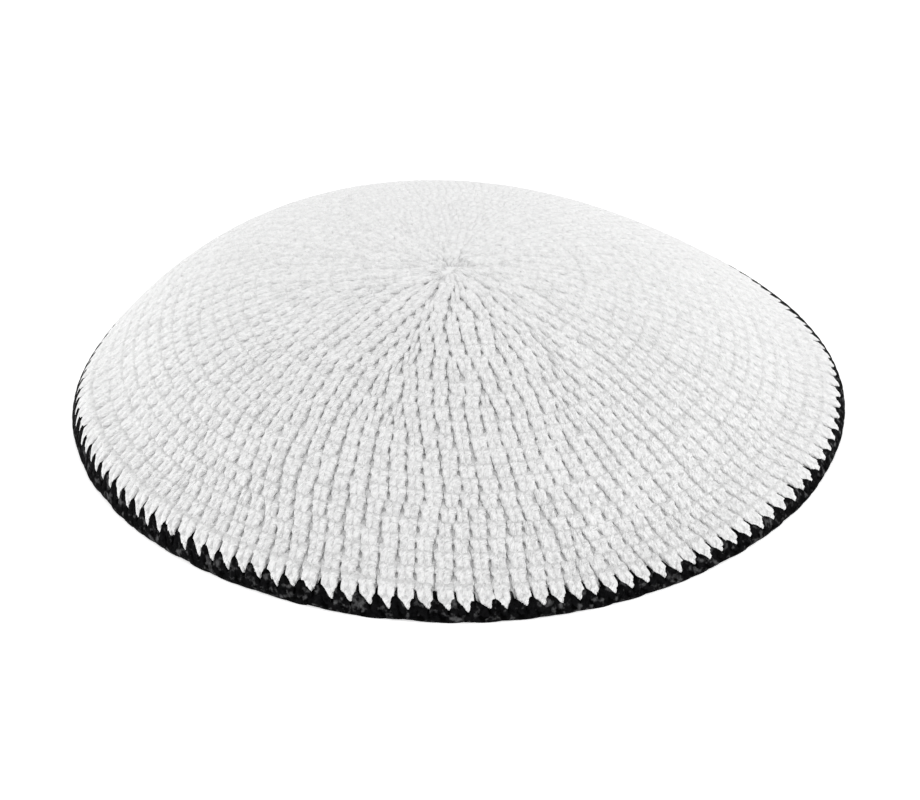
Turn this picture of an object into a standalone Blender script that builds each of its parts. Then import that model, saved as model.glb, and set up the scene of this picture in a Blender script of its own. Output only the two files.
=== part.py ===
# A crocheted skullcap: a shallow hollow dome of white single crochet, worked in rounds
# from the crown's centre, and one black edge round whose spikes reach up between
# the points of the last white round. Metres, +Z up, standing on its edge at z = 0.
import math

import bmesh
import bpy
from mathutils import Matrix, Vector

# Sizes of the real cap
RIM_RADIUS = 0.085                      # mean half width at the outside of the edge
DOME_HALF_ANGLE = math.radians(46.6)    # slope of the dome where it meets the edge
WALL = 0.003                            # thickness of the crochet
RIM_LIFT = 0.0007                       # height of the dome's end over the surface
GAP = 0.0003                            # clearance between the two yarns' solids

# Crochet layout
RIM_STITCHES = 128                      # stitches in the last round and in the edge
WHITE_ROUNDS = 25
ROUND_HEIGHT = 0.0036                   # one round, measured along the dome
ROUNDS_PER_BAND = 3                     # rounds between two rings of the mesh

# The joint where black spikes and white points interlock, as distances along the
# dome from the crown's centre: (outside of the wall, inside of the wall)
SPIKE_ARC = (0.0893, 0.0886)            # where a black spike ends
POINT_ARC = (0.0922, 0.0902)            # where a white point ends

# The edge round's lower side
EDGE_OUTER_ARC = 0.0950                 # end of the dome's outside
EDGE_INNER_ARC = 0.0924                 # end of the dome's inside
FOOT_OUTER_RADIUS = 0.0843              # the flat ring that it rests on
FOOT_INNER_RADIUS = 0.0822

# The cap's own uneven form. Plan waves: (waves in a turn, cosine part, sine part)
PLAN_WAVES = (
    (2, 0.0113, 0.0083),
    (3, -0.0003, -0.0035),
    (4, 0.0053, 0.0029),
)
FULLNESS = 0.0094                       # how much the shoulders stand over a sphere
LEAN = (-0.0349, 0.0115)                # how much fuller the +X and the +Y shoulder are
APEX_DRIFT = -0.061                     # sideways drift in X for each metre of height

WHITE_YARN = (0.80, 0.80, 0.80, 1.0)
BLACK_YARN = (0.012, 0.012, 0.013, 1.0)
YARN_ROUGHNESS = 0.9
CREASE_ANGLE = math.radians(40)
SAME_POINT = 1e-6                       # points nearer than this are one

SPHERE_RADIUS = RIM_RADIUS / math.sin(DOME_HALF_ANGLE)
SPHERE_CENTRE_Z = RIM_LIFT - SPHERE_RADIUS * math.cos(DOME_HALF_ANGLE)
DOME_HEIGHT = SPHERE_CENTRE_Z + SPHERE_RADIUS
OUTSIDE = 0.0
INSIDE = WALL


def dome_point(arc, depth, turn=0.0):
    """A point of the even dome: arc along it from its centre, depth under its outside."""
    angle = arc / SPHERE_RADIUS
    radius = SPHERE_RADIUS - depth
    point = Vector((radius * math.sin(angle), 0.0, SPHERE_CENTRE_Z + radius * math.cos(angle)))
    point.rotate(Matrix.Rotation(turn, 3, 'Z'))
    return point


def plan_factor(turn, share):
    """How far the plan departs from a circle, growing from the centre to the rim."""
    wave = sum(c * math.cos(n * turn) + s * math.sin(n * turn) for n, c, s in PLAN_WAVES)
    return 1.0 + wave * share ** 3


def rim_middle():
    """The middle of the box round the rim, which becomes the part's origin."""
    turns = [math.radians(step) for step in range(360)]
    rim_x = [plan_factor(turn, 1.0) * RIM_RADIUS * math.cos(turn) for turn in turns]
    rim_y = [plan_factor(turn, 1.0) * RIM_RADIUS * math.sin(turn) for turn in turns]
    return Vector(((min(rim_x) + max(rim_x)) / 2, (min(rim_y) + max(rim_y)) / 2, 0.0))


def shape_cap(mesh):
    """Turns the even dome into this cap's uneven one and centres it on the origin."""
    middle = rim_middle()
    for vert in mesh.verts:
        x, y, z = vert.co
        radius = math.hypot(x, y)
        turn = math.atan2(y, x)
        share = radius / RIM_RADIUS
        shoulder = 4.0 * (z / DOME_HEIGHT) * share ** 2
        widen = plan_factor(turn, share)
        lean = LEAN[0] * math.cos(turn) + LEAN[1] * math.sin(turn)
        vert.co.z = z + RIM_RADIUS * shoulder * (FULLNESS + lean)
        vert.co.x = x * widen + APEX_DRIFT * z - middle.x
        vert.co.y = y * widen - middle.y


def add_line(mesh, points, closed=False):
    """Joins points with edges, the profile that a spin then turns."""
    verts = [mesh.verts.new(point) for point in points]
    ends = zip(verts, verts[1:] + verts[:1]) if closed else zip(verts, verts[1:])
    return verts + [mesh.edges.new(pair) for pair in ends]


def spin_round(mesh, profile):
    """Turns a profile once round the Z axis, one step for each stitch of the rim."""
    bmesh.ops.spin(mesh, geom=profile, cent=(0, 0, 0), axis=(0, 0, 1), angle=math.tau,
                   steps=RIM_STITCHES, use_merge=True)
    bmesh.ops.remove_doubles(mesh, verts=mesh.verts, dist=SAME_POINT)


def cut_points(mesh, arc, depth, point_arc):
    """Splits the ring at this arc between its stitches and moves the new points to point_arc."""
    level = dome_point(arc, depth)
    radius = math.hypot(level.x, level.y)
    ring = [edge for edge in mesh.edges
            if all(abs(math.hypot(*vert.co.xy) - radius) < SAME_POINT
                   and abs(vert.co.z - level.z) < SAME_POINT for vert in edge.verts)]
    parts = bmesh.ops.subdivide_edges(mesh, edges=ring, cuts=1)
    for vert in [item for item in parts['geom_inner'] if isinstance(item, bmesh.types.BMVert)]:
        vert.co = dome_point(point_arc, depth, math.atan2(vert.co.y, vert.co.x))


def gap_along_dome(face):
    """Length along the dome that leaves GAP between two zigzags, on one face of the wall."""
    half_pitch = math.pi * RIM_RADIUS / RIM_STITCHES
    rise = POINT_ARC[face] - SPIKE_ARC[face]
    return GAP * math.hypot(half_pitch, rise) / half_pitch


def band_arcs():
    """Distances from the crown's centre at which the crown's mesh has a ring."""
    bands = WHITE_ROUNDS // ROUNDS_PER_BAND
    return [band * ROUNDS_PER_BAND * ROUND_HEIGHT for band in range(bands + 1)]


def make_yarn(name, colour):
    """The yarn's colour for the viewport and a plain render."""
    material = bpy.data.materials.new(name)
    material.use_nodes = True
    shader = material.node_tree.nodes['Principled BSDF']
    shader.inputs['Base Color'].default_value = colour
    shader.inputs['Roughness'].default_value = YARN_ROUGHNESS
    shader.inputs['Metallic'].default_value = 0.0
    material.diffuse_color = colour
    return material


def finish_piece(name, mesh, material):
    """Writes a finished mesh to an object of its own."""
    shape_cap(mesh)
    bmesh.ops.recalc_face_normals(mesh, faces=mesh.faces)
    if mesh.calc_volume(signed=True) < 0.0:
        bmesh.ops.reverse_faces(mesh, faces=mesh.faces)
    bmesh.ops.triangulate(mesh, faces=mesh.faces)
    data = bpy.data.meshes.new(name)
    mesh.to_mesh(data)
    mesh.free()
    data.materials.append(material)
    data.shade_smooth()
    data.set_sharp_from_angle(angle=CREASE_ANGLE)
    piece = bpy.data.objects.new(name, data)
    bpy.context.scene.collection.objects.link(piece)
    return piece


def make_crown():
    """The white dome, open below, with a point under each stitch of its last round."""
    mesh = bmesh.new()
    outer = [dome_point(arc, OUTSIDE) for arc in band_arcs() + [SPIKE_ARC[0]]]
    inner = [dome_point(arc, INSIDE) for arc in band_arcs() + [SPIKE_ARC[1]]]
    spin_round(mesh, add_line(mesh, outer + inner[::-1]))
    cut_points(mesh, SPIKE_ARC[0], OUTSIDE, POINT_ARC[0])
    cut_points(mesh, SPIKE_ARC[1], INSIDE, POINT_ARC[1])
    return finish_piece('crown', mesh, make_yarn('white_yarn', WHITE_YARN))


def make_edge_round():
    """The black ring, with a spike between each two white points and a flat foot."""
    mesh = bmesh.new()
    spike = [SPIKE_ARC[face] + gap_along_dome(face) for face in (0, 1)]
    point = [POINT_ARC[face] + gap_along_dome(face) for face in (0, 1)]
    profile = [
        dome_point(spike[0], OUTSIDE),
        dome_point(EDGE_OUTER_ARC, OUTSIDE),
        Vector((FOOT_OUTER_RADIUS, 0, 0)),
        Vector((FOOT_INNER_RADIUS, 0, 0)),
        dome_point(EDGE_INNER_ARC, INSIDE),
        dome_point(spike[1], INSIDE),
    ]
    spin_round(mesh, add_line(mesh, profile, closed=True))
    cut_points(mesh, spike[0], OUTSIDE, point[0])
    cut_points(mesh, spike[1], INSIDE, point[1])
    return finish_piece('edge_round', mesh, make_yarn('black_yarn', BLACK_YARN))


def main():
    for old in list(bpy.data.objects):
        bpy.data.objects.remove(old, do_unlink=True)
    for piece in (make_crown(), make_edge_round()):
        print(piece.name, len(piece.data.polygons), 'triangles')


main()
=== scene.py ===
# %% [markdown]
# # A crocheted kippah, stitch by stitch
#
# This lesson dresses the plain solids of a small round cap in real crochet. The cap is worked in
# rounds from the middle of the crown: twenty-five rounds of white cotton, then one black round that
# closes the rim. At the size of the picture a stitch is at most nineteen pixels wide, but the cap is
# nothing except stitches, so they are modelled as yarn and not painted on.
#
# The frame holds the measured solids. Everything below is laid over them, in the same metres.

# %% Load the frame
import math

import bmesh
import bpy
import numpy as np
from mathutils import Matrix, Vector


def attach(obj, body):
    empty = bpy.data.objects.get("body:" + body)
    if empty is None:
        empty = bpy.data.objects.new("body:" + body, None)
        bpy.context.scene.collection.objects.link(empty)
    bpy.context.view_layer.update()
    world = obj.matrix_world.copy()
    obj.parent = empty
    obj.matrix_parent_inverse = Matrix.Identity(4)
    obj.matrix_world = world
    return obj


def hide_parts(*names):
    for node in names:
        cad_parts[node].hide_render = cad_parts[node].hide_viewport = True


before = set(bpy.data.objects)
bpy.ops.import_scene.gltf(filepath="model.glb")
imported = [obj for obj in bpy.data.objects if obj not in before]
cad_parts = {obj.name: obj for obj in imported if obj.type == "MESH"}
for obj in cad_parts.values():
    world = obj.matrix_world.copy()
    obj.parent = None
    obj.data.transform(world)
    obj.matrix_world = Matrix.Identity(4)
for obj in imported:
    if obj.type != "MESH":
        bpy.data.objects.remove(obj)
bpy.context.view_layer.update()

MM = 0.001

# %% [markdown]
# ## The dome that the stitches lie on
#
# Every strand is first drawn flat, in three numbers: how far along the dome it lies from the crown's
# centre, how far round the cap, and how deep under the outside. One function then bends all of it
# onto the cap. It holds the same few sizes as the solids do: a shallow part of a sphere, a little
# fuller at the shoulders, a little higher on the left, with a rim that isn't quite a circle. Bending
# finished strands is far easier than modelling each one in place, and it is how a lattice or a curve
# modifier thinks too.

# %% Measure the dome
RIM_RADIUS = 85.0 * MM
DOME_HALF_ANGLE = math.radians(46.6)
RIM_LIFT = 0.7 * MM
# The rim's departure from a circle: waves in a turn, cosine part, sine part
PLAN_WAVES = ((2, 0.0113, 0.0083), (3, -0.0003, -0.0035), (4, 0.0053, 0.0029))
SHOULDER_GAIN = 4.0                     # scales height times distance squared to the shoulder's swell
FULLNESS = 0.0094                       # how much the shoulders stand over a sphere
LEAN = (-0.0349, 0.0115)                # how much fuller the right and the far shoulder are
APEX_DRIFT = -0.061                     # sideways drift for each metre of height
TABLE_CLEARANCE = 0.05 * MM             # no yarn reaches lower than this

SPHERE_RADIUS = RIM_RADIUS / math.sin(DOME_HALF_ANGLE)
SPHERE_CENTRE_Z = RIM_LIFT - SPHERE_RADIUS * math.cos(DOME_HALF_ANGLE)
DOME_HEIGHT = SPHERE_CENTRE_Z + SPHERE_RADIUS


def plan_factor(turn, share):
    """How far the plan departs from a circle, growing from the centre to the rim."""
    wave = sum(c * np.cos(n * turn) + s * np.sin(n * turn) for n, c, s in PLAN_WAVES)
    return 1.0 + wave * np.abs(share) ** 3


def rim_middle():
    """The middle of the box round the rim, which is the part's origin."""
    turns = np.radians(np.arange(360))
    rim_x = plan_factor(turns, 1.0) * RIM_RADIUS * np.cos(turns)
    rim_y = plan_factor(turns, 1.0) * RIM_RADIUS * np.sin(turns)
    return (rim_x.min() + rim_x.max()) / 2, (rim_y.min() + rim_y.max()) / 2


MIDDLE_X, MIDDLE_Y = rim_middle()
print("height of the even dome in mm:", round(DOME_HEIGHT / MM, 1))

# %% [markdown]
# ## The rolled rim
#
# On the real cap the last rounds swell a little and then turn down steeply. It shows in how broad the
# black band looks at the near side and at both ends, and hardly at all on the far side. The swell is
# two soft steps, one that rises and one that falls, and a third one fades it out towards the far
# side. Adding it to the dome's formula bends the stitches with it, so that none is cut off.

# %% Bend flat positions onto the cap
ROLL_START = 80.0 * MM                  # the swell, as distances along the dome
ROLL_PEAK = 89.5 * MM
ROLL_END = 96.0 * MM
ROLL_OUT = 1.7 * MM                     # how far it stands outwards and upwards at its peak
ROLL_UP = 1.1 * MM
FAR_LEAN = 0.12                         # turns the far side a little towards the left
FAR_START = -0.05                       # where the swell begins to fade, as the sine of the turn
FAR_SPREAD = 0.48                       # and over how much of it


def smooth(value):
    """A soft step from 0 to 1."""
    value = np.clip(value, 0.0, 1.0)
    return value * value * (3.0 - 2.0 * value)


def rim_roll(arc, turn):
    """How much of the swell there is: 0 on the dome and below the rim, 1 at its peak."""
    rise = smooth((arc - ROLL_START) / (ROLL_PEAK - ROLL_START))
    fall = smooth((ROLL_END - arc) / (ROLL_END - ROLL_PEAK))
    far_side = smooth((np.sin(turn) - FAR_LEAN * np.cos(turn) - FAR_START) / FAR_SPREAD)
    return rise * fall * (1.0 - far_side)


def on_cap(arc, turn, depth):
    """Places of points given by arc along the dome, turn round it and depth under its outside."""
    angle = arc / SPHERE_RADIUS
    radius = SPHERE_RADIUS - depth
    roll = rim_roll(arc, turn)
    flat = radius * np.sin(angle) + ROLL_OUT * roll
    z = SPHERE_CENTRE_Z + radius * np.cos(angle) + ROLL_UP * roll
    share = flat / RIM_RADIUS
    shoulder = SHOULDER_GAIN * (z / DOME_HEIGHT) * share ** 2
    widen = plan_factor(turn, share)
    x = flat * np.cos(turn) * widen + APEX_DRIFT * z - MIDDLE_X
    y = flat * np.sin(turn) * widen - MIDDLE_Y
    z = z + RIM_RADIUS * shoulder * (FULLNESS + LEAN[0] * np.cos(turn) + LEAN[1] * np.sin(turn))
    return np.stack([x, y, np.maximum(z, TABLE_CLEARANCE)], axis=-1)


print("top of the dome in mm:", (on_cap(0.0, 0.0, 0.0) / MM).round(1))

# %% [markdown]
# ## Camera
#
# The cap is seen from two metres away through a long lens, from a little more than a third of a right
# angle above. Such a lens hardly shows perspective, which keeps the rim an even oval. The camera is
# set by elevation and distance, and its focal length follows from how many pixels a millimetre
# covers in the picture.

# %% Aim the camera
IMAGE_WIDTH = 920
IMAGE_HEIGHT = 800
ORIGIN_PIXEL = (459.19, 407.97)         # where the part's origin lies in the picture
PIXELS_PER_MM = 4.4834
SENSOR_MM = 36.0
CAMERA_DISTANCE = 2.0
CAMERA_ELEVATION = math.radians(33.46)
CAMERA_REACH = 20.0


def aim_camera():
    """A camera at the picture's angle, looking at what lies in the middle of the picture."""
    data = bpy.data.cameras.new("camera")
    data.sensor_width = SENSOR_MM
    data.lens = PIXELS_PER_MM / MM * CAMERA_DISTANCE * SENSOR_MM / IMAGE_WIDTH
    data.clip_end = CAMERA_REACH
    camera = bpy.data.objects.new("camera", data)
    bpy.context.scene.collection.objects.link(camera)
    back = Vector((0.0, -math.cos(CAMERA_ELEVATION), math.sin(CAMERA_ELEVATION)))
    up = Vector((0.0, math.sin(CAMERA_ELEVATION), math.cos(CAMERA_ELEVATION)))
    right = Vector((1.0, 0.0, 0.0))
    across = (IMAGE_WIDTH / 2 - ORIGIN_PIXEL[0]) / PIXELS_PER_MM * MM
    above = (ORIGIN_PIXEL[1] - IMAGE_HEIGHT / 2) / PIXELS_PER_MM * MM
    target = right * across + up * above
    camera.location = target + back * CAMERA_DISTANCE
    camera.rotation_euler = (math.pi / 2 - CAMERA_ELEVATION, 0.0, 0.0)
    bpy.context.scene.camera = camera
    return camera


camera = aim_camera()
print("lens in mm:", round(camera.data.lens, 1))

# %% [markdown]
# ## Floor
#
# The floor is plain, matt and white. It glows a little by itself, which keeps it evenly white and
# almost without a shadow. The alternative, a very bright lamp, would bleach the yarn as well.

# %% Lay the floor
FLOOR_SIZE = 12.0
FLOOR_WHITE = 0.9
FLOOR_ROUGHNESS = 0.9
FLOOR_GLOW = 0.5


def lay_floor():
    """One large white face under the cap, kept out of the model itself."""
    mesh = bpy.data.meshes.new("floor")
    build = bmesh.new()
    bmesh.ops.create_grid(build, x_segments=1, y_segments=1, size=FLOOR_SIZE / 2)
    build.to_mesh(mesh)
    build.free()
    floor = bpy.data.objects.new("floor", mesh)
    bpy.context.scene.collection.objects.link(floor)
    paint = bpy.data.materials.new("floor_paint")
    paint.use_nodes = True
    shader = paint.node_tree.nodes["Principled BSDF"]
    shader.inputs["Base Color"].default_value = (FLOOR_WHITE, FLOOR_WHITE, FLOOR_WHITE, 1.0)
    shader.inputs["Roughness"].default_value = FLOOR_ROUGHNESS
    shader.inputs["Specular IOR Level"].default_value = 0.0
    shader.inputs["Emission Color"].default_value = (1.0, 1.0, 1.0, 1.0)
    shader.inputs["Emission Strength"].default_value = FLOOR_GLOW
    mesh.materials.append(paint)
    print("floor in metres:", FLOOR_SIZE, "by", FLOOR_SIZE)


lay_floor()

# %% [markdown]
# ## Light
#
# White yarn on a white floor needs very soft light, which leaves shade only in the gaps between the
# stitches. A bright room does most of it. One large panel hangs overhead, and two smaller ones stand
# at the sides and keep both ends of the cap as bright as its top. Small lamps would draw hard shadows
# between the rounds.

# %% Light the studio
ROOM_LIGHT = 0.755
# Each panel's name, place, width in metres and power in watts
PANELS = (
    ("overhead_panel", (0.1, 0.1, 1.6), 1.6, 2.6),
    ("left_panel", (-1.4, -0.2, 0.8), 0.8, 5.5),
    ("right_panel", (1.4, -0.2, 0.8), 0.8, 6.0),
)


def hang_panel(name, place, width, power):
    """A square soft light at place, turned towards the cap."""
    data = bpy.data.lights.new(name, 'AREA')
    data.size = width
    data.energy = power
    panel = bpy.data.objects.new(name, data)
    bpy.context.scene.collection.objects.link(panel)
    panel.location = place
    panel.rotation_euler = (-Vector(place)).to_track_quat('-Z', 'Y').to_euler()


def light_room():
    """An even white room, the panels in it, and plain display of the colours."""
    world = bpy.data.worlds.new("studio")
    world.use_nodes = True
    backdrop = world.node_tree.nodes["Background"]
    backdrop.inputs["Color"].default_value = (1.0, 1.0, 1.0, 1.0)
    backdrop.inputs["Strength"].default_value = ROOM_LIGHT
    bpy.context.scene.world = world
    for panel in PANELS:
        hang_panel(*panel)
    bpy.context.scene.view_settings.view_transform = 'Standard'


light_room()
print("panels:", [name for name, place, width, power in PANELS])

# %% [markdown]
# ## How many stitches
#
# A crocheted disc grows by working two stitches into one hole now and then. The table gives the
# number of stitches in each round, read off the photograph where they can be counted. While the
# number stays the same, the stitches stand in straight columns.

# %% Count the stitches
ROUND_START = 1.8 * MM                  # radius of the ring that the first round is worked into
ROUND_HEIGHT = 3.53 * MM
STITCHES = (8, 14, 20, 26, 32, 40, 48, 54, 58, 64, 70, 76, 84, 92, 94, 94, 94, 96, 100, 106, 112, 118,
            122, 126, 128)
EDGE_STITCHES = 128
COUNTS = STITCHES + (EDGE_STITCHES,)


def round_arc(number):
    """Distance from the crown's centre at which round number ends; round 0 is the starting ring."""
    return ROUND_START + number * ROUND_HEIGHT


print("stitches in all:", sum(COUNTS), "width of a rim stitch in mm:",
      round(math.tau * RIM_RADIUS / EDGE_STITCHES / MM, 2))

# %% [markdown]
# ## Where each stitch sits
#
# Each stitch is a pair of legs that come out of a hole of the round before and part on their way to
# the rim. What the eye takes for a block is the right leg of one stitch and the left leg of the next,
# which meet. So the plan keeps a list of holes for each round: a block hangs between two holes of the
# round above it and ends between two holes of its own round.
#
# Even spacing in each round would be simplest, but then no column would run straight over several
# rounds. Copying the turns of the round above would leave bunches at every increase. Here each hole
# is tied to the one above it by a weak spring and to its neighbours by strong ones, and one small
# system of equations finds where all of them come to rest.

# %% Place the holes
RIM_SLANT = 0.13                        # sideways shift of the columns at the rim, in round heights
HOLD = 0.07                             # the weak spring's strength against the strong ones
YIELD = 0.85                            # how much of the way to rest the holes go
UNEVEN = 0.03                           # random part, in widths of a stitch
FRONT = -math.pi / 2
EDGE_PHASE = math.radians(-0.24)
HOLE_SEED = 38


def choose_parents(count, before, offset):
    """Which hole of the round before each stitch is worked into; increases are spread evenly."""
    return np.floor((np.arange(count) + offset) * before / count).astype(int)


def relax(wanted):
    """Turns near the wanted ones, but with the stitches pressed apart as neighbours do in cloth."""
    count = len(wanted)
    even = math.tau * np.arange(count) / count
    ring = np.eye(count)
    stiffness = 2.0 * ring - np.roll(ring, 1, axis=0) - np.roll(ring, -1, axis=0)
    return even + np.linalg.solve(HOLD * ring + stiffness, HOLD * (wanted - even))


def place_holes(draw):
    """For each round an array of the turns of its holes, and which hole above each one grows from."""
    holes = [math.tau * np.arange(COUNTS[0]) / COUNTS[0]]
    parents = [None]
    for number in range(2, len(COUNTS) + 1):
        count, before = COUNTS[number - 1], COUNTS[number - 2]
        chosen = choose_parents(count, before, draw.random())
        round_radius = SPHERE_RADIUS * math.sin(round_arc(number) / SPHERE_RADIUS)
        slant = RIM_SLANT * (number / len(COUNTS)) ** 2 * ROUND_HEIGHT / round_radius
        lap = math.tau * (chosen // before)
        stray = UNEVEN * math.tau / count * draw.normal(0.0, 1.0, count)
        wanted = holes[-1][chosen % before] + lap + slant
        holes.append(wanted + YIELD * (relax(wanted) - wanted) + stray)
        parents.append(chosen)
    turn_all = FRONT + EDGE_PHASE - holes[-1][0]
    return [ring + turn_all for ring in holes], parents


HOLES, PARENTS = place_holes(np.random.default_rng(HOLE_SEED))
print("rounds with holes:", len(HOLES))

# %% [markdown]
# ## One block in yarn
#
# A block is drawn once, flat, as a few strands. The code calls it a stitch, because a round has as
# many blocks as stitches. Each row of a table is one point of a strand: across the stitch, towards
# the rim, and up, in millimetres, with the yarn's half thickness there.
#
# Two legs start close to the holes, deep in the cloth, rise, lean together and dive under the next
# round. The front loop is the short strand across their ends. It lies so deep that little of it
# shows. In the last white round the legs are longer and the loop lies on top of their ends, because
# there it is what makes the white points against the black edge.

# %% Write down the strands of the front
PITCH = 4.1                             # width of the drawn stitch
ROW = 3.53                              # its height, from its holes above to its own holes

LEG_START = (
    (1.55, -0.45, -1.80, 0.80),
    (1.20, 0.10, -0.98, 1.04),
    (1.00, 0.60, -0.60, 1.28),
    (0.94, 1.05, -0.58, 1.22),
)
LEG = LEG_START + (
    (0.72, 1.50, -0.60, 1.06),
    (0.74, 2.95, -0.64, 1.02),
    (0.84, 3.60, -1.35, 0.88),
)
LAST_LEG = LEG_START + (
    (0.74, 1.55, -0.60, 1.06),
    (0.86, 3.25, -0.60, 1.10),
    (0.92, 4.05, -0.68, 1.04),
    (0.88, 4.65, -1.30, 0.86),
)
FRONT_LOOP = (
    (-0.85, 2.70, -1.40, 0.60),
    (-0.50, 3.30, -0.90, 0.74),
    (-0.05, 3.90, -0.72, 0.78),
    (0.30, 4.45, -1.05, 0.62),
    (0.45, 4.85, -1.80, 0.45),
)
LAST_LOOP = (
    (-0.45, 2.80, -1.10, 0.85),
    (-0.30, 3.60, -0.60, 1.10),
    (-0.12, 4.25, -0.44, 1.12),
    (0.06, 4.80, -0.40, 1.04),
    (0.20, 5.30, -0.46, 0.88),
    (0.28, 5.65, -0.85, 0.66),
)
print("points in a leg:", len(LEG), "and in one of the last round:", len(LAST_LEG))

# %% [markdown]
# ## From points to yarn
#
# A curve with a round bevel turns such a row of points into a tube, and each point's radius makes the
# yarn thicker or thinner there. The curve also gives the tube a UV map along and round the yarn,
# which the twist of the plies needs later. With smooth shading six sides are enough for yarn that is
# nine pixels thick, and they keep two thousand stitches light.

# %% Draw the front of a stitch
SIX_SIDES = 1                           # the bevel resolution of a tube with six sides


def mirrored(path):
    """The same strand on the other side of the stitch."""
    return tuple((-x, y, z, r) for x, y, z, r in path)


def draw_strands(name, paths):
    """A mesh of bevelled curves, one for each path, with closed ends."""
    curve = bpy.data.curves.new(name, 'CURVE')
    curve.dimensions = '3D'
    curve.bevel_depth = 1.0
    curve.bevel_resolution = SIX_SIDES
    curve.use_fill_caps = True
    for path in paths:
        spline = curve.splines.new('POLY')
        spline.points.add(len(path) - 1)
        spline.use_smooth = True
        for point, (x, y, z, r) in zip(spline.points, path):
            point.co = (x, y, z, 1.0)
            point.radius = r
    drawn = bpy.data.objects.new(name, curve)
    mesh = bpy.data.meshes.new_from_object(drawn)
    bpy.data.objects.remove(drawn)
    bpy.data.curves.remove(curve)
    return mesh


front_stitch = draw_strands("front_stitch", (mirrored(LEG), LEG, FRONT_LOOP))
last_stitch = draw_strands("last_stitch", (mirrored(LAST_LEG), LAST_LEG, LAST_LOOP))
print("faces in a stitch:", len(front_stitch.polygons))

# %% [markdown]
# ## A round as one strip
#
# An Array modifier repeats the stitch as often as the round has stitches. Its copies keep their
# order, so the number of a point tells which stitch it belongs to. All copies lie in one place at
# first, because each one is moved to its own holes later.

# %% Repeat a stitch
def repeat(mesh, count):
    """The mesh count times in one, in order, by an Array modifier that moves nothing."""
    carrier = bpy.data.objects.new("carrier", mesh)
    bpy.context.scene.collection.objects.link(carrier)
    array = carrier.modifiers.new("round", 'ARRAY')
    array.count = count
    array.use_relative_offset = False
    array.use_constant_offset = True
    array.constant_offset_displace = (0.0, 0.0, 0.0)
    graph = bpy.context.evaluated_depsgraph_get()
    repeated = bpy.data.meshes.new_from_object(carrier.evaluated_get(graph))
    bpy.data.objects.remove(carrier)
    return repeated


print("points in a rim round:", len(front_stitch.vertices) * EDGE_STITCHES)

# %% [markdown]
# ## Handwork
#
# No two real stitches are alike, so a seeded random draw moves, turns and swells each one a little.
# Neighbours also press each other flat: a strand that would stand out of the cloth is held back
# softly, and one that lies deep keeps its depth. A plain cut at the surface would leave flat facets.

# %% Loosen and press the stitches
SHIFT = 0.14                            # mm that a stitch moves sideways
RISE_SHARE = 0.7                        # share of that by which it moves up or down the dome
SINK = 0.05                             # mm that it sinks or rises
SWELL = 0.05                            # share by which it grows or shrinks
TILT = 0.05                             # sideways lean for each mm of its height
PRESS = 0.5                             # mm over which the pressing sets in


def unruly(across, along, up, stitch, count, amount, draw):
    """The same points with each stitch a little displaced, turned and swollen."""
    shift, rise, sink = draw.normal(0.0, amount, (3, count))
    swell, tilt = draw.normal(0.0, amount, (2, count))
    scale = 1.0 + SWELL * swell[stitch]
    middle = ROW / 2
    x = across * scale + TILT * tilt[stitch] * (along - middle) + SHIFT * shift[stitch]
    y = middle + (along - middle) * scale - TILT * tilt[stitch] * across
    y = y + SHIFT * rise[stitch] * RISE_SHARE
    return x, y, up + SINK * sink[stitch]


def pressed(up):
    """Heights in mm with all that would stand out pressed flat, as neighbours press yarn."""
    return (up - np.sqrt(up ** 2 + PRESS ** 2)) / 2


print("heights -2, 0 and 1 mm pressed:", pressed(np.array([-2.0, 0.0, 1.0])).round(2))

# %% [markdown]
# ## Laying a round
#
# Each copy is stretched between its four corners: two holes of the round above and two of its own.
# Where two stitches are worked into one hole, the block between them would have both upper corners in
# it and start with no width. So the upper corners are moved most of the way towards the lower ones.
# The finished positions go through the bending function of the dome.

# %% Lay a round on the cap
PART = 0.8                              # share of that way that the upper corners move
LOOSE = 3.0                             # extra looseness of the first round; it fades outwards
FIRST_DROP = -0.25                      # a strand follows its column only between these heights
LAST_DROP = 1.6


def upper_corners(index):
    """The turns of the left and of the right upper corner of each stitch in a round."""
    own = HOLES[index]
    if index == 0:
        return own, own + math.tau / COUNTS[index]
    before = COUNTS[index - 1]
    chosen = np.append(PARENTS[index], PARENTS[index][0] + before)
    corners = HOLES[index - 1][chosen % before] + math.tau * (chosen // before)
    spread = np.append(own, own[0] + math.tau) - corners
    corners = corners + PART * (spread - spread.mean())
    return corners[:-1], corners[1:]


def lay_round(stitch_mesh, number, draw, freedom):
    """One round of stitches as a mesh, round 1 being the innermost."""
    index = number - 1
    count = COUNTS[index]
    mesh = repeat(stitch_mesh, count)
    flat = np.empty(len(mesh.vertices) * 3)
    mesh.vertices.foreach_get("co", flat)
    across, along, up = flat.reshape(-1, 3).T
    stitch = np.arange(len(across)) // len(stitch_mesh.vertices)
    across, along, up = unruly(across, along, up, stitch, count, freedom + LOOSE / number, draw)
    above, above_next = upper_corners(index)
    own = HOLES[index]
    own_next = np.append(own[1:], own[0] + math.tau)
    share = across / PITCH + 0.5
    top = above[stitch] + (above_next - above)[stitch] * share
    bottom = own[stitch] + (own_next - own)[stitch] * share
    drop = np.clip(along / ROW, FIRST_DROP, LAST_DROP)
    turn = top + (bottom - top) * drop
    arc = round_arc(number - 1) + along / ROW * ROUND_HEIGHT
    places = on_cap(arc, turn, -pressed(up) * MM)
    mesh.vertices.foreach_set("co", places.ravel())
    mesh.update()
    return mesh


print("corners of the first stitch at the rim, in degrees:",
      [round(math.degrees(side[0]), 2) for side in upper_corners(len(COUNTS) - 1)])

# %% [markdown]
# ## The white crown
#
# The rounds are joined to a few pieces, because two thousand separate stitches would be slow to
# handle and one single piece would be too heavy. All strands of a piece are closed tubes, so their
# normals can be recalculated at once.

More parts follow.
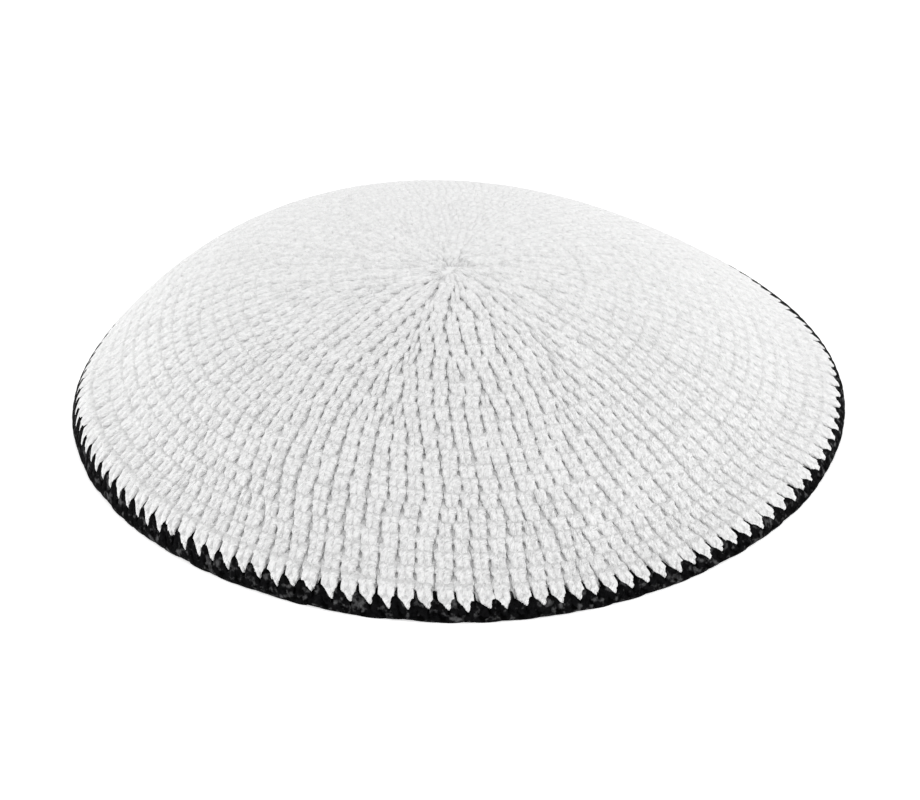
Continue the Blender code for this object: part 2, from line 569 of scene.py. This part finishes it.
# %% Crochet the white rounds
CENTRE_ROUNDS = range(1, 14)
SHOULDER_ROUNDS = range(14, 21)
LAST_WHITE = len(STITCHES)
RIM_ROUNDS = range(21, LAST_WHITE)
STITCH_SEED = 7


def as_piece(name, build):
    """Writes a finished mesh to a smooth object of its own."""
    bmesh.ops.recalc_face_normals(build, faces=build.faces)
    mesh = bpy.data.meshes.new(name)
    build.to_mesh(mesh)
    build.free()
    mesh.shade_smooth()
    piece = bpy.data.objects.new(name, mesh)
    bpy.context.scene.collection.objects.link(piece)
    mesh.calc_loop_triangles()
    print(name, "triangles:", len(mesh.loop_triangles))
    return piece


def join_rounds(name, stitch_mesh, numbers, draw, freedom=1.0):
    """Several rounds as one piece; freedom says how much its stitches differ."""
    build = bmesh.new()
    for number in numbers:
        mesh = lay_round(stitch_mesh, number, draw, freedom)
        build.from_mesh(mesh)
        bpy.data.meshes.remove(mesh)
    return as_piece(name, build)


draw = np.random.default_rng(STITCH_SEED)
crown_centre = join_rounds("crown_centre_rounds", front_stitch, CENTRE_ROUNDS, draw)
crown_shoulder = join_rounds("crown_shoulder_rounds", front_stitch, SHOULDER_ROUNDS, draw)
crown_rim = join_rounds("crown_rim_rounds", front_stitch, RIM_ROUNDS, draw)
crown_last = join_rounds("crown_last_round", last_stitch, [LAST_WHITE], draw)

# %% [markdown]
# ## The black edge
#
# The edge is one more round of the same stitch in black yarn. Its legs come out of the holes between
# the white blocks, so they show as spikes, and the row of loops that ends it is a chain that rolls
# over the rim and touches the table. It was worked more evenly than the white, and its stitches get
# less freedom.

# %% Work the edge round
EDGE_ROUND = LAST_WHITE + 1
EDGE_FREEDOM = 0.4
EDGE_LEFT = (
    (-2.02, -1.60, -1.55, 0.45),
    (-2.02, -0.75, -0.75, 0.42),
    (-2.12, 0.00, -0.42, 0.45),
    (-1.92, 0.60, -0.30, 0.74),
    (-1.50, 1.20, -0.30, 0.92),
    (-1.12, 1.90, -0.36, 1.02),
    (-0.80, 2.60, -0.46, 1.06),
    (-0.78, 3.40, -0.56, 1.05),
    (-0.85, 4.10, -1.10, 0.90),
)
EDGE_RIGHT = (
    (2.02, -1.60, -1.55, 0.45),
    (2.02, -0.75, -0.75, 0.42),
    (2.02, 0.00, -0.42, 0.45),
    (1.80, 0.60, -0.30, 0.78),
    (1.60, 1.20, -0.30, 0.92),
    (1.58, 1.90, -0.36, 1.00),
    (1.45, 2.60, -0.46, 1.04),
    (1.20, 3.40, -0.56, 1.05),
    (1.10, 4.10, -1.10, 0.90),
)
CHAIN_FRONT = (
    (-2.70, 3.98, -1.00, 0.90),
    (-1.60, 4.02, -0.82, 0.98),
    (-0.40, 4.05, -0.76, 1.00),
    (0.80, 4.08, -0.78, 1.00),
    (1.90, 4.06, -0.90, 0.96),
    (2.80, 4.02, -1.15, 0.88),
)
CHAIN_BACK = (
    (-2.60, 3.20, -1.80, 0.55),
    (-1.60, 3.30, -2.05, 0.72),
    (0.00, 3.40, -2.15, 0.76),
    (1.60, 3.35, -2.05, 0.72),
    (2.60, 3.20, -1.80, 0.55),
)
edge_stitch = draw_strands("edge_stitch", (EDGE_LEFT, EDGE_RIGHT, CHAIN_FRONT, CHAIN_BACK))
edge_yarn = join_rounds("edge_round_yarn", edge_stitch, [EDGE_ROUND], draw, EDGE_FREEDOM)

# %% [markdown]
# ## The inside
#
# Turned over, single crochet shows level bars with short strands between them. They are drawn and
# laid in the same way as the front, with thinner yarn, close to the inner side of the solids' wall.
# The photograph doesn't show them, but the cap can be looked at from below.

# %% Lay the inside strands
INNER_ROUNDS = range(1, 18)
OUTER_ROUNDS = range(18, EDGE_ROUND)
BACK_BAR = (
    (-2.20, 0.20, -1.95, 0.60),
    (-1.10, -0.05, -2.25, 0.70),
    (0.00, -0.10, -2.35, 0.72),
    (1.10, -0.05, -2.25, 0.70),
    (2.20, 0.20, -1.95, 0.60),
)
BACK_LEG = (
    (0.30, 0.35, -1.90, 0.55),
    (0.75, 1.20, -2.20, 0.66),
    (1.15, 2.10, -2.25, 0.66),
    (1.50, 2.95, -1.95, 0.55),
)
back_stitch = draw_strands("back_stitch", (BACK_BAR, BACK_LEG, mirrored(BACK_LEG)))
inside_crown = join_rounds("crown_inside_centre", back_stitch, INNER_ROUNDS, draw)
inside_rim = join_rounds("crown_inside_rim", back_stitch, OUTER_ROUNDS, draw)
inside_edge = join_rounds("edge_round_inside", back_stitch, [EDGE_ROUND], draw)

# %% [markdown]
# ## The heart of the cloth
#
# Between the front and the inside strands real yarn fills the cloth. A thin closed layer stands for
# it, so that no light comes through the gaps. It is a profile turned once round by a spin, like the
# solids, and then bent onto the cap. At the back and in the knot at the centre it lies nearer to the
# surface, because there the gaps between the real stitches look shallow.

# %% Turn the filling
FILL_TOP = 1.3                          # mm under the outside
FILL_BOTTOM = 2.25
CLOSED = 0.65                           # share by which its top rises where the cloth is dense
KNOT_ARC = 2.6 * MM                     # size of the knot at the centre
NEAR_CENTRE = 12.0 * MM                 # only beyond this does the back count in full
BACK_BLEND = 0.7                        # how early the front gives way to the back
FILL_END_WHITE = 90.9 * MM
FILL_END_BLACK = 93.3 * MM
FILL_GAP = 0.1 * MM
CROWN_STEPS = 60
EDGE_STEPS = 3
SAME_POINT = 1e-7


def fill_depth(arc, turn, depth):
    """The depth of a point of the filling's top, less where the cloth is dense."""
    knot = math.exp(-(arc / KNOT_ARC) ** 2)
    back = ((1.0 + math.sin(turn)) / 2) ** BACK_BLEND * min(1.0, arc / NEAR_CENTRE)
    return depth * (1.0 - CLOSED * max(knot, back))


def turn_fill(name, first, last, steps):
    """A closed layer of cloth between two distances along the dome."""
    build = bmesh.new()
    arcs = np.linspace(first, last, steps)
    outer = [(arc, 0.0, FILL_TOP * MM) for arc in arcs]
    inner = [(arc, 0.0, FILL_BOTTOM * MM) for arc in arcs[::-1]]
    verts = [build.verts.new(place) for place in outer + inner]
    ends = verts[1:] + verts[:1] if first > 0.0 else verts[1:]
    edges = [build.edges.new(pair) for pair in zip(verts, ends)]
    bmesh.ops.spin(build, geom=verts + edges, cent=(0, 0, 0), axis=(0, 0, 1), angle=math.tau,
                   steps=EDGE_STITCHES, use_merge=True)
    middle_depth = (FILL_TOP + FILL_BOTTOM) / 2 * MM
    for vert in build.verts:
        x, y, depth = vert.co
        arc, turn = math.hypot(x, y), math.atan2(y, x)
        if depth < middle_depth:
            depth = fill_depth(arc, turn, depth)
        vert.co = on_cap(arc, turn, depth)
    bmesh.ops.remove_doubles(build, verts=build.verts, dist=SAME_POINT)
    return as_piece(name, build)


crown_fill = turn_fill("crown_fill", 0.0, FILL_END_WHITE, CROWN_STEPS)
edge_fill = turn_fill("edge_round_fill", FILL_END_WHITE + FILL_GAP, FILL_END_BLACK, EDGE_STEPS)

# %% [markdown]
# ## Shader maths as expressions
#
# A material's pattern is a graph of small nodes, and wiring each one by hand is hard to read. The
# class below wraps a socket, so that plain arithmetic on it adds the nodes. Colours don't go through
# it, because a Math node would turn them grey.

# %% Wrap a socket
class Signal:
    """A shader socket that can be added, multiplied and so on."""

    def __init__(self, tree, socket):
        self.tree = tree
        self.socket = socket

    def work_out(self, operation, first, second=None):
        node = self.tree.nodes.new("ShaderNodeMath")
        node.operation = operation
        for slot, value in enumerate((first, second)):
            if isinstance(value, Signal):
                self.tree.links.new(value.socket, node.inputs[slot])
            elif value is not None:
                node.inputs[slot].default_value = value
        return Signal(self.tree, node.outputs[0])

    def __add__(self, other):
        return self.work_out('ADD', self, other)

    def __radd__(self, other):
        return self.work_out('ADD', other, self)

    def __sub__(self, other):
        return self.work_out('SUBTRACT', self, other)

    def __rsub__(self, other):
        return self.work_out('SUBTRACT', other, self)

    def __mul__(self, other):
        return self.work_out('MULTIPLY', self, other)

    def __rmul__(self, other):
        return self.work_out('MULTIPLY', other, self)

    def maximum(self, other):
        return self.work_out('MAXIMUM', self, other)

    def sine(self):
        return self.work_out('SINE', self)

    def absolute(self):
        return self.work_out('ABSOLUTE', self)


# %% [markdown]
# All other nodes come from one method, which takes the kind of node, its settings and what its
# sockets are fed with, either a value or a wrapped socket.

# %% Add any other node
MIX_FIRST, MIX_SECOND, MIX_RESULT = 6, 7, 2      # the colour sockets of a Mix node


class Recipe:
    """A material's nodes: node() adds any node with its settings and sockets."""

    def __init__(self, name):
        self.material = bpy.data.materials.new(name)
        self.material.use_nodes = True
        self.tree = self.material.node_tree
        self.shader = self.tree.nodes["Principled BSDF"]

    def node(self, kind, output, settings=None, **sockets):
        node = self.tree.nodes.new(kind)
        for setting, value in (settings or {}).items():
            setattr(node, setting, value)
        for title, value in sockets.items():
            self.feed(node.inputs[title.replace("_", " ")], value)
        return Signal(self.tree, node.outputs[output])

    def feed(self, socket, value):
        if isinstance(value, Signal):
            self.tree.links.new(value.socket, socket)
        else:
            socket.default_value = value

    def mix(self, factor, first, second):
        """A colour between two, each a colour or a Signal."""
        mixed = self.node("ShaderNodeMix", MIX_RESULT, {"data_type": 'RGBA'}, Factor=factor)
        for slot, colour in ((MIX_FIRST, first), (MIX_SECOND, second)):
            self.feed(mixed.socket.node.inputs[slot], colour)
        return mixed

    def finish(self, **sockets):
        for title, value in sockets.items():
            self.feed(self.shader.inputs[title.replace("_", " ")], value)
        return self.material


# %% [markdown]
# ## Cotton yarn
#
# Cotton yarn is matt. Close up it shows the twist of its plies, woolly patches about a millimetre
# wide, fine fibres, and here and there a fleck of lighter fibre. On the black yarn these flecks are
# painted highlights, lighter colour standing in for light caught on its twisted plies. The twist
# follows the yarn, so it reads the UV map, and the rest reads the place in the cloth. A photograph of
# yarn laid over the stitches would show its own light and repeat itself, and noise does neither.
#
# Where a leg comes out from under the round before, the base colour is darkened in a soft band. This
# is painted shade, standing in for the shadow that the crease holds. These painted crease shadows are
# what makes the rounds show as rows of blocks. Patches, fibres and the painted crease shade are strong
# at the front of the cap and weak at its back, where the light leaves the yarn almost flat. In the
# relief this is bump; in the colour it is painted shading.
#
# Both yarns share one recipe and differ in their colours, in how rare the flecks are, in the height
# of the relief and in their shine.

# %% Write the yarn's recipe
PLIES = 6
TWISTS = 5.0                            # turns of the plies along one strand
PLY_WANDER = 3.0                        # how far the patches disturb them
PATCH_SCALE = 950.0                     # patches, fibres and flecks for each metre; on black yarn the flecks are painted highlights
FIBRE_SCALE = 3200.0
FLECK_AND_HIGHLIGHT_SCALE = 600.0
PATCH_DETAIL = 1.5
FINE_DETAIL = 3.0
RELIEF_AND_SHADE_MIDDLE = 0.58                      # strength of relief and of painted shading contrast in the middle of the cap,
RELIEF_AND_SHADE_FALL = 5.5                         # its loss for each metre towards the back,
RELIEF_AND_SHADE_LEAST = 0.25                       # and what is left of it there
PLY_RELIEF = 0.28                       # relief of plies and fibres against that of the patches
FIBRE_RELIEF = 0.4
CREASE_SHADE_AT = 0.27                        # place of the painted crease shade along a strand
CREASE_SHADE_SHARPNESS = 7.0
CREASE_SHADE_FRONT = 2.2                      # how fast the painted crease shade grows with the strength of the pattern
CREASE_SHADE_LEAST = 1.3                      # and what that has to exceed
NOISE_MIDDLE = 0.5
PATCH_CONTRAST = 3.0
FIBRE_CONTRAST = 0.5
MEAN_SHADE = 0.72
FLECK_AND_HIGHLIGHT_SHARPNESS = 6.0
YARN_ROUGHNESS = 0.95


def yarn_material(name, light, dark, fleck_and_highlight, rarity, relief, shine):
    """Matt yarn: woolly patches between light and dark, painted shade in the creases, sparse flecks, and
    the patches as relief.
    """
    recipe = Recipe(name)
    uv = recipe.node("ShaderNodeUVMap", "UV", {"uv_map": "UVMap"})
    along = recipe.node("ShaderNodeSeparateXYZ", "X", Vector=uv)
    around = recipe.node("ShaderNodeSeparateXYZ", "Y", Vector=uv)
    place = recipe.node("ShaderNodeTexCoord", "Object")
    far_back = recipe.node("ShaderNodeSeparateXYZ", "Y", Vector=place)
    patch = recipe.node("ShaderNodeTexNoise", "Fac", Vector=place, Scale=PATCH_SCALE, Detail=PATCH_DETAIL)
    fibre = recipe.node("ShaderNodeTexNoise", "Fac", Vector=place, Scale=FIBRE_SCALE, Detail=FINE_DETAIL)
    stray = recipe.node("ShaderNodeTexNoise", "Fac", Vector=place, Scale=FLECK_AND_HIGHLIGHT_SCALE, Detail=FINE_DETAIL)
    twist = along * (TWISTS * math.tau) + around * (PLIES * math.tau) + patch * PLY_WANDER
    ply = (twist * 0.5).sine().absolute()
    # Relief and colour contrast fall from the front to the back. In the bump this is relief; in the base
    # colour it is painted shading, the stronger contrast that the light gives the yarn at the front.
    relief_and_shade_strength = (RELIEF_AND_SHADE_MIDDLE - far_back * RELIEF_AND_SHADE_FALL).maximum(RELIEF_AND_SHADE_LEAST)
    height = (ply * PLY_RELIEF + patch + fibre * FIBRE_RELIEF) * relief_and_shade_strength
    # Painted shade: the base colour darkens in a soft band where a leg comes out from under the round
    # before, in place of the crease's shadow.
    crease_shade = (1.0 - (along - CREASE_SHADE_AT).absolute() * CREASE_SHADE_SHARPNESS).maximum(0.0)
    crease_shade = crease_shade * (relief_and_shade_strength * CREASE_SHADE_FRONT + stray - CREASE_SHADE_LEAST).maximum(0.0)
    wool = (patch - NOISE_MIDDLE) * PATCH_CONTRAST + (fibre - NOISE_MIDDLE) * FIBRE_CONTRAST
    # The colour's contrast grows towards the front: painted shading laid over the real random patches.
    shade = (wool - crease_shade) * relief_and_shade_strength + MEAN_SHADE
    body = recipe.mix(shade, dark, light)
    # Flecks: lighter fibre on the white yarn. On the black yarn they are painted highlights, where lighter
    # colour stands in for light caught on the twisted plies.
    colour = recipe.mix((stray - rarity) * FLECK_AND_HIGHLIGHT_SHARPNESS, body, fleck_and_highlight)
    bump = recipe.node("ShaderNodeBump", "Normal", Strength=1.0, Distance=relief, Height=height)
    print(name, "nodes:", len(recipe.tree.nodes))
    return recipe.finish(Base_Color=colour, Normal=bump, Roughness=YARN_ROUGHNESS, Specular_IOR_Level=shine)


# %% [markdown]
# White cotton reflects most light even in its darkest patches. Black cotton swallows nearly all of
# it. Its flecks are painted highlights standing in for light caught on the plies, and they are what
# lets the eye see the stitches of the edge.

# %% Spin the two yarns
white_yarn = yarn_material("white_cotton", light=(0.95, 0.95, 0.95, 1.0), dark=(0.72, 0.72, 0.72, 1.0),
                           fleck_and_highlight=(0.97, 0.97, 0.97, 1.0), rarity=0.62, relief=0.6 * MM, shine=0.15)
# The black yarn's fleck colour is a painted highlight on its plies.
black_yarn = yarn_material("black_cotton", light=(0.006, 0.006, 0.0065, 1.0),
                           dark=(0.0005, 0.0005, 0.0005, 1.0), fleck_and_highlight=(0.10, 0.10, 0.102, 1.0),
                           rarity=0.55, relief=0.5 * MM, shine=0.03)

# %% [markdown]
# ## Put it together
#
# Each piece takes its yarn, rides on the cap's one body and hides the solid that it stands for.

# %% Dress the frame
WHITE_PIECES = (crown_centre, crown_shoulder, crown_rim, crown_last, inside_crown, inside_rim, crown_fill)
BLACK_PIECES = (edge_yarn, inside_edge, edge_fill)


def dress(pieces, material, node):
    """Gives each piece its yarn, hangs it on the cap's body and hides the solid that it replaces."""
    for piece in pieces:
        piece.data.materials.clear()
        piece.data.materials.append(material)
        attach(piece, "root")
        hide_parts(node)


dress(WHITE_PIECES, white_yarn, "crown")
dress(BLACK_PIECES, black_yarn, "edge_round")
print("white pieces:", len(WHITE_PIECES), "black pieces:", len(BLACK_PIECES))
